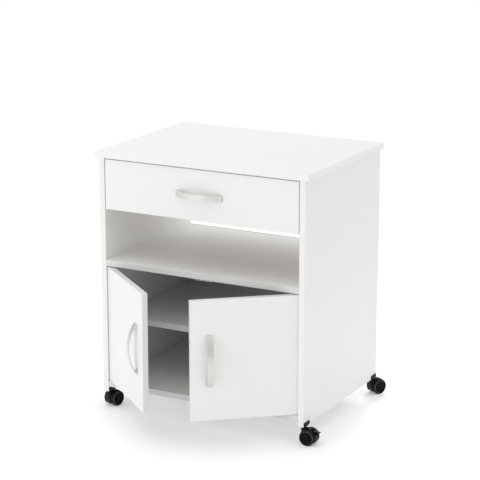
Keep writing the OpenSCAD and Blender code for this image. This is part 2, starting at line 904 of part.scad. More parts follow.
// An angle under the drawer side, with a flange that runs on the cabinet roller
module drawer_rail(side) {
    leg_z0 = box_z0 - rail_t;
    flange_len = rear_roller_y - roller_r - flange_end_gap - box_y0;
    color("whitesmoke") difference() {
        on_side(side) {
            translate([box_x, box_y0, leg_z0]) cube([rail_t, rail_len, flange_z + rail_t - leg_z0]);
            translate([box_x - drawer_t, box_y0, leg_z0]) cube([drawer_t + eps, rail_len, rail_t]);
            translate([box_x, box_y0, flange_z]) cube([flange_out, flange_len, rail_t]);
            translate([box_x + rail_t - eps, rear_roller_y, rear_roller_z]) rotate([0, 90, 0]) roller_pin();
        }
        drawer_rail_screw_places() {
            translate([0, 0, -rail_t - eps]) cylinder(r = screw_r + snug, h = rail_t + 2 * eps);
        }
    }
}

module drawer_roller(side) {
    color("white") on_side(side) roller(rear_roller_y, rear_roller_z);
}

// ---------------------------------------------------------------- doors

// Turns what is drawn for the closed right-hand door about its pivot, to where it rests
module in_door(side) {
    on_side(side) {
        translate([pivot[0], pivot[1], 0]) rotate([0, 0, door_open]) {
            translate([-pivot[0], -pivot[1], 0]) children();
        }
    }
}

module door_handle_place() {
    translate([door_x0 + handle_edge, front_y, handle_z]) rotate([0, 90, 0]) children();
}

module strike_place() {
    translate([magnet_pitch / 2, front_y + board_t, door_z1 - strike_top - strike[1] / 2]) children();
}

module strike_screw_place() {
    strike_place() translate([0, strike_t, -strike_screw_drop]) rotate([-90, 0, 0]) children();
}

module bush_places() {
    translate([pivot[0], pivot[1], door_z0]) children();
    translate([pivot[0], pivot[1], door_z1]) mirror([0, 0, 1]) children();
}

module door(side) {
    color("white") in_door(side) difference() {
        translate([door_x0, front_y, door_z0]) cube([door_x1 - door_x0, board_t, door_z1 - door_z0]);
        bush_places() translate([0, 0, -eps]) cylinder(r = bush_r + snug, h = bush_len + snug + eps);
        door_handle_place() handle_screw_cuts();
        strike_screw_place() {
            translate([0, 0, -strike_t - strike_screw_in]) {
                cylinder(r = screw_r + snug, h = strike_screw_in + eps);
            }
        }
    }
}

module door_handle(side) {
    color("silver") in_door(side) door_handle_place() handle_with_holes();
}

module door_screws(side) {
    color("silver") in_door(side) {
        door_handle_place() handle_screws();
        strike_screw_place() {
            screw(screw_r, strike_t + strike_screw_in - snug, strike_head_r, strike_head_t);
        }
    }
}

module strike_plate(side) {
    color("silver") in_door(side) difference() {
        strike_place() translate([-strike[0] / 2, 0, -strike[1] / 2]) {
            cube([strike[0], strike_t, strike[1]]);
        }
        strike_screw_place() translate([0, 0, -strike_t - eps]) {
            cylinder(r = screw_r + snug, h = strike_t + 2 * eps);
        }
    }
}

module pivot_bushes(side) {
    color("white") in_door(side) bush_places() difference() {
        translate([0, 0, -bush_proud]) cylinder(r = bush_r, h = bush_len + bush_proud);
        translate([0, 0, -bush_proud - eps]) {
            cylinder(r = pivot_r + running, h = bush_len - bush_floor + bush_proud + eps);
        }
    }
}

// ---------------------------------------------------------------- casters

// Places a caster drawn with its stem at the origin and its trail along +X
module at_caster(side, end, trail) {
    translate([side * stem_x, end * stem_y, 0]) rotate([0, 0, trail]) children();
}

module hood_profile() {
    intersection() {
        union() {
            translate([caster_trail, wheel_r]) circle(r = hood_r);
            translate([0, stem_z0 - stem_floor]) {
                square([caster_trail, hood_r + wheel_r - stem_z0 + stem_floor]);
            }
        }
        translate([-hood_r, hood_floor]) square([4 * hood_r, hood_r + wheel_r]);
    }
}

module caster_hood(braked) {
    color("black") difference() {
        union() {
            translate([0, hood_w / 2, 0]) rotate([90, 0, 0]) linear_extrude(hood_w) hood_profile();
            translate([0, 0, stem_z0 - stem_floor]) {
                cylinder(r = boss_r, h = collar_z1 - stem_z0 + stem_floor);
            }
            translate([0, 0, collar_z1 - collar_t]) cylinder(r = collar_r, h = collar_t);
        }
        translate([0, 0, stem_z0]) cylinder(r = stem_r + snug / 2, h = caster_h);
        translate([caster_trail, hood_w / 2 + eps, wheel_r]) rotate([90, 0, 0]) {
            cylinder(r = axle_r + snug / 2, h = hood_w + 2 * eps);
        }
        if (braked) {
            translate([lever_pivot[0] - lever_back - lever_end_gap, -lever_slot_w / 2, lever_slot_z]) {
                cube([4 * hood_r, lever_slot_w, 2 * hood_r]);
            }
            lever_axis(hood_w + 2 * eps) cylinder(r = lever_pin_r + running, h = hood_w + 2 * eps);
        }
    }
}

module lever_axis(w) {
    translate([lever_pivot[0], w / 2, lever_pivot[1]]) rotate([90, 0, 0]) children();
}

module caster_pins() {
    axle_len = 2 * (wheel_v + axle_in);
    color("silver") {
        translate([0, 0, stem_z0]) cylinder(r = stem_r, h = caster_h + stem_len - stem_z0);
        translate([caster_trail, axle_len / 2, wheel_r]) rotate([90, 0, 0]) {
            cylinder(r = axle_r, h = axle_len);
        }
    }
}

// A wheel turned about its axis: x is the radius, y runs from the hood's side outwards
module wheel_profile() {
    bore = axle_r + running;
    polygon([
        [bore, 0], [wheel_r - tread_round, 0], [wheel_r, tread_round],
        [wheel_r, wheel_w - tread_round], [wheel_r - tread_round, wheel_w],
        [rim_out_r - tread_round, wheel_w - rim_deep / 2], [rim_out_r - 2 * tread_round, wheel_w],
        [rim_in_r, wheel_w], [rim_in_r, wheel_w - rim_deep],
        [hub_r, wheel_w - rim_deep], [hub_r, wheel_w - rim_deep / 2],
        [0, wheel_w - rim_deep / 2], [0, axle_in + 2 * running], [bore, axle_in + 2 * running]
    ]);
}

module wheel(face) {
    color("black") translate([caster_trail, face * wheel_v, wheel_r]) {
        rotate([-face * 90, 0, 0]) rotate_extrude() wheel_profile();
    }
}

module brake_lever() {
    tip = caster_trail + wheel_r + lever_out;
    start = lever_pivot[0] - lever_back;
    color("black") {
        translate([start, -lever_w / 2, lever_top - lever_t]) cube([tip - start, lever_w, lever_t]);
        lever_axis(lever_w) cylinder(r = lever_lug_r, h = lever_w);
        lever_axis(hood_w - snug) cylinder(r = lever_pin_r, h = hood_w - snug);
    }
}

top_panel();
side_panel(-1);  // side_panel_left
side_panel(1);  // side_panel_right
fixed_shelf();
bottom_panel();
back_panel();
adjustable_shelf();
shelf_pins();
cam_locks();
cam_bolts();
dowels();
cabinet_rail(-1);  // cabinet_rail_left
cabinet_rail(1);  // cabinet_rail_right
cabinet_roller(-1);  // cabinet_roller_left
cabinet_roller(1);  // cabinet_roller_right
catch_housing();
catch_magnets();
pivot_plates(-1);  // pivot_plates_left
pivot_plates(1);  // pivot_plates_right
caster_brackets();
fixing_screws();
drawer_front();
drawer_side(-1);  // drawer_side_left
drawer_side(1);  // drawer_side_right
drawer_back();
drawer_bottom();
drawer_handle();
drawer_fittings();
drawer_rail(-1);  // drawer_rail_left
drawer_rail(1);  // drawer_rail_right
drawer_roller(-1);  // drawer_roller_left
drawer_roller(1);  // drawer_roller_right
door(-1);  // door_left
door_handle(-1);  // door_handle_left
door_screws(-1);  // door_screws_left
strike_plate(-1);  // strike_plate_left
pivot_bushes(-1);  // pivot_bushes_left
door(1);  // door_right
door_handle(1);  // door_handle_right
door_screws(1);  // door_screws_right
strike_plate(1);  // strike_plate_right
pivot_bushes(1);  // pivot_bushes_right
at_caster(-1, -1, trail_front_left) caster_hood(false);  // caster_hood_front_left
at_caster(-1, -1, trail_front_left) caster_pins();  // caster_pins_front_left
at_caster(-1, -1, trail_front_left) wheel(1);  // wheel_inner_front_left
at_caster(-1, -1, trail_front_left) wheel(-1);  // wheel_outer_front_left
at_caster(1, -1, trail_front_right) caster_hood(true);  // caster_hood_front_right
at_caster(1, -1, trail_front_right) caster_pins();  // caster_pins_front_right
at_caster(1, -1, trail_front_right) wheel(1);  // wheel_inner_front_right
at_caster(1, -1, trail_front_right) wheel(-1);  // wheel_outer_front_right
at_caster(1, -1, trail_front_right) brake_lever();  // brake_lever_front_right
at_caster(-1, 1, trail_rear_left) caster_hood(false);  // caster_hood_rear_left
at_caster(-1, 1, trail_rear_left) caster_pins();  // caster_pins_rear_left
at_caster(-1, 1, trail_rear_left) wheel(1);  // wheel_inner_rear_left
at_caster(-1, 1, trail_rear_left) wheel(-1);  // wheel_outer_rear_left
at_caster(1, 1, trail_rear_right) caster_hood(false);  // caster_hood_rear_right
at_caster(1, 1, trail_rear_right) caster_pins();  // caster_pins_rear_right
at_caster(1, 1, trail_rear_right) wheel(1);  // wheel_inner_rear_right
at_caster(1, 1, trail_rear_right) wheel(-1);  // wheel_outer_rear_right
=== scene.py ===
import json
import math

import bmesh
import bpy
from mathutils import Matrix, Vector


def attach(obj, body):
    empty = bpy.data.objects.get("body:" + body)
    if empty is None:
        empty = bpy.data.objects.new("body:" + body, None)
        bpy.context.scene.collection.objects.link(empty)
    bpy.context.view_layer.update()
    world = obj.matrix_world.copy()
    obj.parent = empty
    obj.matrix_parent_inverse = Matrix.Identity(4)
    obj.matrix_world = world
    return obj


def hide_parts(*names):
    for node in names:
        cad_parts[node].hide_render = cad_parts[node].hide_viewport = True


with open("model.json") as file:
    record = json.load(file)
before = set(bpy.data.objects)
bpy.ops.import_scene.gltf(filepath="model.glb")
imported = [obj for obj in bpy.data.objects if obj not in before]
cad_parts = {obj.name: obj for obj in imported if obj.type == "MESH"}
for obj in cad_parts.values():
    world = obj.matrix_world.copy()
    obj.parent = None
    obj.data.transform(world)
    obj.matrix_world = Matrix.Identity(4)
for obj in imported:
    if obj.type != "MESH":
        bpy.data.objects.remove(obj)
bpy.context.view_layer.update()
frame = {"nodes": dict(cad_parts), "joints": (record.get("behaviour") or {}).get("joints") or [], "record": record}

MM = 0.001
NODES = frame["nodes"]
JOINTS = {joint["name"]: joint for joint in frame["joints"]}
BODIES = frame["record"]["behaviour"]["bodies"]
BODY_OF = {node: body for body, nodes in BODIES.items() for node in nodes}
CORNERS = ("front_left", "front_right", "rear_left", "rear_right")
SIDES = ("left", "right")
UP = Vector((0, 0, 1))


# ------------------------------------------------------------------ shader building blocks

MIX_FACTOR, MIX_A, MIX_B = 0, 6, 7  # sockets of the Mix node when it mixes colours
MIX_COLOUR = 2


class Value:
    """A shader socket: arithmetic on it adds the Math nodes that work the result out."""

    def __init__(self, finish, socket):
        self.finish = finish
        self.socket = socket

    def math(self, operation, *values):
        return self.finish.node("ShaderNodeMath", {"operation": operation}, dict(enumerate(values)))

    def __add__(self, other):
        return self.math("ADD", self, other)

    def __radd__(self, other):
        return self.math("ADD", other, self)

    def __sub__(self, other):
        return self.math("SUBTRACT", self, other)

    def __rsub__(self, other):
        return self.math("SUBTRACT", other, self)

    def __mul__(self, other):
        return self.math("MULTIPLY", self, other)

    def __rmul__(self, other):
        return self.math("MULTIPLY", other, self)

    def sine(self):
        return self.math("SINE", self)

    def clamped(self):
        return self.math("MINIMUM", self.math("MAXIMUM", self, 0.0), 1.0)


class Finish:
    """A material round one Principled BSDF; what is the same all over is set on its sockets."""

    def __init__(self, name, **constants):
        self.material = bpy.data.materials.new(name)
        self.material.use_nodes = True
        self.tree = self.material.node_tree
        self.shader = self.tree.nodes["Principled BSDF"]
        for socket, value in constants.items():
            self.feed(socket.replace("_", " "), value)

    def join(self, value, socket):
        """Links a Value to the socket, or sets the socket to a constant."""
        if isinstance(value, Value):
            self.tree.links.new(value.socket, socket)
        else:
            socket.default_value = value

    def feed(self, socket, value):
        self.join(value, self.shader.inputs[socket])

    def node(self, kind, settings=None, inputs=None, output=0):
        """Adds a node: its settings first, then the values or links of its sockets."""
        made = self.tree.nodes.new(kind)
        for name, value in (settings or {}).items():
            if name == "stops":
                self.fill_ramp(made.color_ramp, value)
            else:
                setattr(made, name, value)
        for name, value in (inputs or {}).items():
            self.join(value, made.inputs[name])
        return Value(self, made.outputs[output])

    def fill_ramp(self, ramp, stops):
        """Sets the ramp's stops, each a place from 0 to 1 and a colour."""
        while len(ramp.elements) < len(stops):
            ramp.elements.new(1.0)
        for element, (place, colour) in zip(ramp.elements, stops):
            element.position = place
            element.color = (*colour, 1.0)

    def place(self, stretch=(1, 1, 1)):
        """The object's own coordinates, in metres, stretched along X, Y and Z."""
        here = self.node("ShaderNodeTexCoord", output="Object")
        return self.node("ShaderNodeMapping", inputs={"Vector": here, "Scale": stretch})

    def noise(self, size, detail=2.0, stretch=(1, 1, 1), roughness=0.5):
        """Noise from 0 to 1 whose blotches are about as wide as size, in metres."""
        return self.node(
            "ShaderNodeTexNoise",
            inputs={
                "Vector": self.place(stretch),
                "Scale": 1 / size,
                "Detail": detail,
                "Roughness": roughness,
            },
        )

    def chips(self, size):
        """A grey from 0 to 1 for each of the irregular cells, about as wide as size, in metres."""
        inputs = {"Vector": self.place(), "Scale": 1 / size}
        colour = self.node("ShaderNodeTexVoronoi", inputs=inputs, output="Color")
        return self.node("ShaderNodeSeparateColor", inputs={"Color": colour}, output="Red")

    def ramp(self, value, *stops):
        """Colours by value, from 0 to 1, between the stops."""
        return self.node("ShaderNodeValToRGB", {"stops": stops}, {"Fac": value})

    def blend(self, mask, first, second):
        """The first colour where mask is 0 and the second where it is 1."""
        inputs = {MIX_FACTOR: mask, MIX_A: (*first, 1.0), MIX_B: (*second, 1.0)}
        return self.node("ShaderNodeMix", {"data_type": "RGBA"}, inputs, output=MIX_COLOUR)

    def bump(self, height, distance):
        """Raises the surface by height times distance, in metres."""
        self.feed("Normal", self.node("ShaderNodeBump", inputs={"Height": height, "Distance": distance}))


# ------------------------------------------------------------------ finishes

SCREEN_PITCH = 0.0018  # of the weave that hardboard is pressed on


def laminate():
    """White melamine facing: a faint pebbled press texture and slightly uneven gloss."""
    finish = Finish("white_laminate", IOR=1.5)
    tone = finish.noise(0.16, 3.0)
    fleck = finish.noise(0.004, 2.0)
    mask = (tone * 0.7 + fleck * 0.3).clamped()
    finish.feed("Base Color", finish.blend(mask, (0.825, 0.827, 0.808), (0.855, 0.856, 0.840)))
    pebble = finish.noise(0.0007, 3.0)
    finish.feed("Roughness", 0.33 + finish.noise(0.03, 4.0) * 0.12 + pebble * 0.06)
    finish.bump(pebble, 0.00004)
    return finish.material


def edge_tape(name, shade=1.0):
    """Smoother melamine tape on the edges, with the faint lines of its trimming. A shade below 1 darkens the whole
    tape: painted shade for edges that lie in shadow.
    """
    finish = Finish(name, IOR=1.5)
    tone = finish.noise(0.05, 2.0)
    low = tuple(shade * share for share in (0.835, 0.836, 0.815))
    high = tuple(shade * share for share in (0.862, 0.862, 0.846))
    finish.feed("Base Color", finish.blend(tone, low, high))
    trim = finish.noise(0.0006, 2.0)
    finish.feed("Roughness", 0.30 + tone * 0.10)
    finish.bump(trim, 0.00002)
    return finish.material


def chipboard():
    """Raw particle board: pale and dark chips lying in glue, with open pores."""
    finish = Finish("raw_chipboard", IOR=1.4)
    chip = finish.chips(0.0022)
    fibre = finish.noise(0.0007, 4.0)
    shade = (chip * 0.65 + fibre * 0.35).clamped()
    finish.feed("Base Color", finish.ramp(
        shade,
        (0.10, (0.200, 0.115, 0.052)),
        (0.42, (0.400, 0.265, 0.140)),
        (0.75, (0.560, 0.410, 0.240)),
        (1.00, (0.660, 0.520, 0.330)),
    ))
    finish.feed("Roughness", 0.80 + fibre * 0.15)
    finish.bump(shade, 0.0004)
    return finish.material


def hardboard_white():
    """The painted face of the hardboard: flat white with a slight fibre."""
    finish = Finish("white_hardboard_face", IOR=1.45)
    fibre = finish.noise(0.002, 5.0)
    finish.feed("Base Color", finish.blend(fibre, (0.810, 0.812, 0.795), (0.845, 0.846, 0.828)))
    finish.feed("Roughness", 0.46 + fibre * 0.14)
    finish.bump(finish.noise(0.0009, 3.0), 0.00005)
    return finish.material


def hardboard_raw():
    """The unpainted face of the hardboard, which keeps the weave of the press screen."""
    finish = Finish("raw_hardboard", IOR=1.4)
    fibre = finish.noise(0.0012, 6.0, roughness=0.65)
    stain = finish.noise(0.09, 3.0)
    shade = (fibre * 0.6 + stain * 0.4).clamped()
    finish.feed("Base Color", finish.ramp(
        shade,
        (0.25, (0.115, 0.062, 0.028)),
        (0.55, (0.205, 0.120, 0.058)),
        (0.85, (0.300, 0.190, 0.100)),
    ))
    finish.feed("Roughness", 0.72 + fibre * 0.2)
    across, along = (
        finish.node("ShaderNodeSeparateXYZ", inputs={"Vector": finish.place()}, output=axis)
        for axis in "XZ"
    )
    screen = 2 * math.pi / SCREEN_PITCH
    weave = (across * screen).sine() * (along * screen).sine()
    finish.bump(weave * 0.5 + fibre, 0.00015)
    return finish.material


def satin_nickel(long_axis):
    """Brushed and plated strap: fine lines along the handle under a soft gloss."""
    stretch = [1.0, 1.0, 1.0]
    stretch["XYZ".index(long_axis)] = 0.02
    finish = Finish(f"satin_nickel_{long_axis.lower()}", Metallic=1.0)
    lines = finish.noise(0.00035, 3.0, stretch)
    cloud = finish.noise(0.02, 2.0)
    finish.feed("Base Color", finish.blend(lines, (0.640, 0.632, 0.612), (0.760, 0.752, 0.732)))
    finish.feed("Roughness", 0.30 + lines * 0.12 + cloud * 0.05)
    finish.bump(lines, 0.000015)
    return finish.material


def zinc():
    """Bright zinc plate, slightly clouded where it has been handled."""
    finish = Finish("zinc_plate", Metallic=1.0)
    cloud = finish.noise(0.004, 4.0)
    grain = finish.noise(0.0004, 2.0)
    finish.feed("Base Color", finish.blend(cloud, (0.560, 0.575, 0.600), (0.720, 0.725, 0.730)))
    finish.feed("Roughness", 0.26 + cloud * 0.16 + grain * 0.08)
    finish.bump(grain, 0.00001)
    return finish.material


def rail_coat():
    """White epoxy on the rail steel, with the orange peel of a baked coat."""
    finish = Finish("white_epoxy_coat", IOR=1.5)
    peel = finish.noise(0.0011, 2.0)
    tone = finish.noise(0.03, 2.0)
    finish.feed("Base Color", finish.blend(tone, (0.780, 0.782, 0.765), (0.820, 0.820, 0.805)))
    finish.feed("Roughness", 0.30 + peel * 0.10)
    finish.bump(peel, 0.00006)
    return finish.material


def nylon():
    """Natural nylon: milky, with faint flow marks."""
    finish = Finish("natural_nylon", IOR=1.53)
    flow = finish.noise(0.005, 3.0, (1, 1, 0.4))
    finish.feed("Base Color", finish.blend(flow, (0.750, 0.745, 0.715), (0.810, 0.806, 0.780)))
    finish.feed("Roughness", 0.36 + flow * 0.12)
    finish.bump(finish.noise(0.0006, 2.0), 0.00002)
    return finish.material


def magnet_steel():
    """Ground ferrite: dark grey, with fine grinding lines."""
    finish = Finish("ground_ferrite", Metallic=0.75)
    lines = finish.noise(0.0005, 3.0, (0.05, 1, 1))
    finish.feed("Base Color", finish.blend(lines, (0.110, 0.110, 0.116), (0.210, 0.210, 0.215)))
    finish.feed("Roughness", 0.42 + lines * 0.16)
    finish.bump(lines, 0.00002)
    return finish.material


def black_coat():
    """Black powder coat with its fine peel, rubbed a little paler on high spots."""
    finish = Finish("black_powder_coat", Specular_IOR_Level=0.16)
    peel = finish.noise(0.0009, 2.0)
    rub = finish.noise(0.006, 4.0)
    finish.feed("Base Color", finish.blend(rub, (0.005, 0.005, 0.006), (0.012, 0.012, 0.013)))
    finish.feed("Roughness", 0.38 + peel * 0.14)
    finish.bump(peel, 0.00006)
    return finish.material


def black_plastic():
    """Moulded black plastic with a fine spark-eroded grain."""
    finish = Finish("black_moulded_plastic", Specular_IOR_Level=0.16)
    grain = finish.noise(0.0005, 3.0)
    cloud = finish.noise(0.008, 3.0)
    finish.feed("Base Color", finish.blend(cloud, (0.003, 0.003, 0.004), (0.008, 0.008, 0.009)))
    finish.feed("Roughness", 0.16 + grain * 0.10 + cloud * 0.06)
    finish.bump(grain, 0.00004)
    return finish.material


def wheel_face():
    """The moulded faces of the wheels, a little smoother than their treads."""
    finish = Finish("black_wheel_face", Specular_IOR_Level=0.07)
    grain = finish.noise(0.0006, 3.0)
    dust = finish.noise(0.007, 5.0)
    finish.feed("Base Color", finish.blend(dust, (0.003, 0.003, 0.003), (0.007, 0.007, 0.007)))
    finish.feed("Roughness", 0.36 + grain * 0.12 + dust * 0.08)
    finish.bump(grain, 0.00004)
    return finish.material


def wheel_ring():
    """The polished slope of the ring that stands out round each wheel's face. Its black is paler than the face's:
    a painted highlight where the slope catches the light, varied by random noise.
    """
    finish = Finish("black_wheel_ring", Specular_IOR_Level=1.0)
    grain = finish.noise(0.0008, 3.0)
    rub = finish.noise(0.004, 4.0)
    # painted highlight: this black is paler than the wheel face's, in random patches
    finish.feed("Base Color", finish.blend(rub, (0.008, 0.008, 0.008), (0.020, 0.020, 0.020)))
    finish.feed("Roughness", 0.14 + grain * 0.08 + rub * 0.08)
    finish.bump(grain, 0.00002)
    return finish.material


def wheel_tread():
    """The treads: scuffed by the floor and greyed with its dust."""
    finish = Finish("black_wheel_tread", Specular_IOR_Level=0.14)
    dust = finish.noise(0.0035, 5.0, roughness=0.7)
    scuff = finish.noise(0.0009, 3.0)
    mask = (dust * 1.6 - 0.45).clamped()
    finish.feed("Base Color", finish.blend(mask, (0.005, 0.005, 0.005), (0.016, 0.016, 0.015)))
    finish.feed("Roughness", 0.42 + dust * 0.22)
    finish.bump(scuff + dust * 0.5, 0.00008)
    return finish.material


def beech():
    """Raw beech dowel: long pale fibres with short dark flecks."""
    finish = Finish("raw_beech", IOR=1.4)
    fibre = finish.noise(0.0009, 4.0, (0.15, 1, 1))
    fleck = finish.noise(0.0016, 2.0, (0.4, 1, 1))
    mask = (fibre * 0.6 + fleck * 0.4).clamped()
    finish.feed("Base Color", finish.blend(mask, (0.390, 0.235, 0.120), (0.620, 0.430, 0.260)))
    finish.feed("Roughness", 0.62 + fibre * 0.2)
    finish.bump(fibre, 0.00012)
    return finish.material


LAMINATE = laminate()
TAPE = edge_tape("white_edge_tape")
# Painted shade: the door and shelf tapes are the same white tape darkened, standing in for the shade these edges
# lie in.
SHADED_DOOR_TAPE = edge_tape("door_edge_tape_painted_shade", 0.88)
SHADED_SHELF_TAPE = edge_tape("shelf_edge_tape_painted_shade", 0.81)
CHIPS = chipboard()
HARD_WHITE = hardboard_white()
HARD_RAW = hardboard_raw()
NICKEL_X = satin_nickel("X")
NICKEL_Z = satin_nickel("Z")
ZINC = zinc()
RAIL = rail_coat()
NYLON = nylon()
FERRITE = magnet_steel()
COAT = black_coat()
PLASTIC = black_plastic()
WHEEL_FACE = wheel_face()
WHEEL_RING = wheel_ring()
WHEEL_TREAD = wheel_tread()
BEECH = beech()


# ------------------------------------------------------------------ mesh building blocks

MERGE = 0.001 * MM
FLAT = math.radians(0.3)
SHARP = math.radians(40)
SAME_WAY = 0.9  # cosine above which two directions count as the same
LONG_EDGE = 8 * MM  # the corners of a board are longer, and those of its holes' facets shorter


def merged_copy(node):
    """A CAD node's mesh with its loose triangles joined and its flat faces made whole."""
    bm = bmesh.new()
    bm.from_mesh(NODES[node].data)
    bmesh.ops.remove_doubles(bm, verts=bm.verts, dist=MERGE)
    bmesh.ops.dissolve_limit(bm, angle_limit=FLAT, verts=bm.verts, edges=bm.edges)
    return bm


def convex_corners(bm, length=0.0):
    """The sharp outward corners that are longer than length."""
    return [
        edge for edge in bm.edges
        if len(edge.link_faces) == 2
        and edge.is_convex
        and edge.calc_length() > length
        and edge.calc_face_angle(0.0) > SHARP
    ]


def soften(bm, edges, width, segments=2):
    """Rounds the edges off."""
    bmesh.ops.bevel(
        bm, geom=edges, offset=width, offset_type="OFFSET", affect="EDGES",
        segments=segments, profile=0.5, material=-1, clamp_overlap=True,
    )


def finished(name, bm, node, materials):
    """Makes the piece, which rides on the node's body and stands for the node."""
    mesh = bpy.data.meshes.new(name)
    bm.to_mesh(mesh)
    bm.free()
    mesh.shade_smooth()
    mesh.set_sharp_from_angle(angle=SHARP)
    for material in materials:
        mesh.materials.append(material)
    piece = bpy.data.objects.new(name, mesh)
    bpy.context.scene.collection.objects.link(piece)
    normals = piece.modifiers.new("flat_faces", "WEIGHTED_NORMAL")
    normals.keep_sharp = True
    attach(piece, BODY_OF[node])
    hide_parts(node)
    return piece


# ------------------------------------------------------------------ boards

PLANE_SLACK = 0.01 * MM
BOARD_ROUND = 0.5 * MM  # of the taped edges of the boards
FRONT_ROUND = 0.8 * MM  # of the top, the doors and the drawer front
SHEET_ROUND = 0.2 * MM  # of the hardboard sheets
FACE, REVERSE, EDGE, CORE = range(4)  # material places of a board


def on_outside(bm, face):
    """Whether the whole piece lies behind the face's plane."""
    level = face.normal.dot(face.verts[0].co)
    return all(face.normal.dot(vert.co) < level + PLANE_SLACK for vert in bm.verts)


def board(node, raw=(), faces=(LAMINATE,), round_off=BOARD_ROUND, tape=TAPE):
    """A board: facing on its two sides, tape on its edges but for those that face along raw,
    and bare core in its holes and grooves. Two faces are for its fronts and its backs."""
    bm = merged_copy(node)
    materials = [faces[0], faces[-1], tape, CHIPS]
    through = max(bm.faces, key=lambda face: face.calc_area()).normal.copy()
    if through.y > 0.5 or through.z < -0.5:
        through.negate()
    for face in bm.faces:
        along = face.normal.dot(through)
        if not on_outside(bm, face):
            face.material_index = CORE
        elif abs(along) > SAME_WAY:
            face.material_index = FACE if along > 0 else REVERSE
        else:
            bare = any(face.normal.dot(Vector(way)) > SAME_WAY for way in raw)
            face.material_index = CORE if bare else EDGE
    corners = [
        edge for edge in convex_corners(bm, LONG_EDGE)
        if all(on_outside(bm, face) for face in edge.link_faces)
    ]
    soften(bm, corners, round_off)
    return finished(f"{node}_board", bm, node, materials)


BACK = (0, 1, 0)
FRONT = (0, -1, 0)
ABOVE = (0, 0, 1)
BELOW = (0, 0, -1)
ENDS = ((1, 0, 0), (-1, 0, 0))

board("top_panel", round_off=FRONT_ROUND)
for side in SIDES:
    board(f"side_panel_{side}", raw=(BACK, ABOVE))
    board(f"door_{side}", round_off=FRONT_ROUND, tape=SHADED_DOOR_TAPE)
    board(f"drawer_side_{side}", raw=(BACK, FRONT, BELOW))
for node in ("fixed_shelf", "bottom_panel", "adjustable_shelf"):
    board(node, raw=(BACK, *ENDS), tape=SHADED_SHELF_TAPE)
board("drawer_front", round_off=FRONT_ROUND)
board("drawer_back", raw=(BELOW, *ENDS))
ALL_EDGES = (FRONT, BACK, ABOVE, BELOW, *ENDS)
for node in ("back_panel", "drawer_bottom"):
    sheet = board(node, raw=ALL_EDGES, faces=(HARD_WHITE, HARD_RAW), round_off=SHEET_ROUND)
    sheet.data.materials[CORE] = HARD_RAW


# ------------------------------------------------------------------ metal, nylon and plastic copies

HANDLE_ROUND = 0.7 * MM
PLATE_ROUND = 0.25 * MM
ROLLER_ROUND = 0.6 * MM
HOOD_ROUND = 0.8 * MM
SMALL_ROUND = 0.5 * MM  # of the catch, the brackets and the brake lever


def softened(node, material, width, segments=2):
    """A copy of a CAD node whose outward corners are rounded off."""
    bm = merged_copy(node)
    soften(bm, convex_corners(bm), width, segments)
    return finished(f"{node}_finished", bm, node, [material])


softened("drawer_handle", NICKEL_X, HANDLE_ROUND, segments=3)
for side in SIDES:
    softened(f"door_handle_{side}", NICKEL_Z, HANDLE_ROUND, segments=3)
    softened(f"strike_plate_{side}", ZINC, PLATE_ROUND)
    softened(f"pivot_plates_{side}", ZINC, PLATE_ROUND)
    for place in ("cabinet", "drawer"):
        softened(f"{place}_rail_{side}", RAIL, PLATE_ROUND)
        softened(f"{place}_roller_{side}", NYLON, ROLLER_ROUND)
softened("catch_housing", NYLON, SMALL_ROUND)
softened("caster_brackets", COAT, SMALL_ROUND)
for corner in CORNERS:
    softened(f"caster_hood_{corner}", PLASTIC, HOOD_ROUND, segments=3)
softened("brake_lever_front_right", PLASTIC, SMALL_ROUND, segments=3)


# ------------------------------------------------------------------ screws

RIM_WIDTH = 0.25  # this and the next four are shares of a head's radius
RIM_DROP = 0.12
CROSS_ARM = 0.56  # from the recess's centre to an arm's end
CROSS_HALF = 0.13  # half of an arm's width
CROSS_DEEP = 0.45
CROSS_TAPER = 0.6  # width of the recess's floor as a share of its mouth
AREA_SLACK = 0.02
TINY = 1e-6


def cross_outline(angle, arm, half):
    """Distance from a cross recess's centre to its outline in the given direction."""
    turn = (angle + math.pi / 4) % (math.pi / 2) - math.pi / 4
    return min(arm / math.cos(turn), half / max(abs(math.sin(turn)), TINY))


def cut_recess(bm, head, radius):
    """Rounds off a screw head's rim and sinks a cross recess into its top."""
    centre = head.calc_center_median()
    normal = head.normal.copy()
    first = normal.orthogonal().normalized()
    second = normal.cross(first)
    rim = list(head.verts)
    rim_width = RIM_WIDTH * radius
    bmesh.ops.inset_individual(bm, faces=[head], thickness=rim_width, use_even_offset=True)
    for vert in rim:
        vert.co -= normal * RIM_DROP * radius
    for vert in head.verts:
        spoke = vert.co - centre
        angle = math.atan2(spoke.dot(second), spoke.dot(first))
        reach = cross_outline(angle, CROSS_ARM * radius, CROSS_HALF * radius)
        vert.co = centre + (first * math.cos(angle) + second * math.sin(angle)) * reach
    pit = bmesh.ops.extrude_discrete_faces(bm, faces=[head])["faces"][0]
    for vert in pit.verts:
        vert.co = centre + (vert.co - centre) * CROSS_TAPER - normal * CROSS_DEEP * radius


def screws(node, radii, material):
    """Screws with rounded heads and cross recesses; radii are those of their heads."""
    bm = merged_copy(node)
    heads = []
    for radius in radii:
        area = math.pi * radius * radius
        heads += [
            (face, radius) for face in bm.faces
            if abs(face.calc_area() / area - 1) < AREA_SLACK
        ]
    for face, radius in heads:
        cut_recess(bm, face, radius)
    return finished(f"{node}_finished", bm, node, [material])


screws("fixing_screws", (3 * MM,), COAT)
screws("drawer_fittings", (2 * MM, 3 * MM, 4 * MM), ZINC)
for side in SIDES:
    screws(f"door_screws_{side}", (2.5 * MM, 4 * MM), ZINC)


# ------------------------------------------------------------------ wheels

